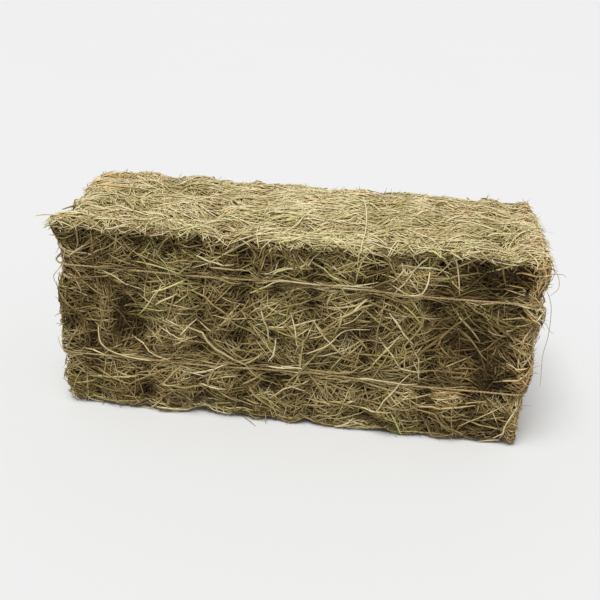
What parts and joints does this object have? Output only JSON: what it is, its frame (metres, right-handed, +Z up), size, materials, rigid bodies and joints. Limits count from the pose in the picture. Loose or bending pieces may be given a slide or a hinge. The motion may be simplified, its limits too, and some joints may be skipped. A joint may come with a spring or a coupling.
{
  "type": "square straw bale",
  "caption": "Small square straw bale on edge: pressed flakes in a row, held by twine loops round front, ends and back.",
  "frame": {"origin": "middle of the underside, on the surface that the bale stands on", "axes": "+X along the bale's length, from its first flake to its last; -Y out of its front, a side that the twines cross; +Z up"},
  "size_m": [1, 0.36, 0.43],
  "materials": {
    "straw": "matte",
    "dark_straw": "matte",
    "frayed_straw": "matte",
    "twine": "matte"
  },
  "bodies": {
    "root": {"flake_01": "straw", "flake_02": "straw", "flake_03": "straw", "flake_04": "straw", "flake_05": "straw", "flake_06": "straw", "flake_07": "straw", "flake_08": "straw", "flake_09": "dark_straw", "flake_10": "frayed_straw", "twine_lower": "twine", "twine_upper": "twine"}
  },
  "joints": []
}
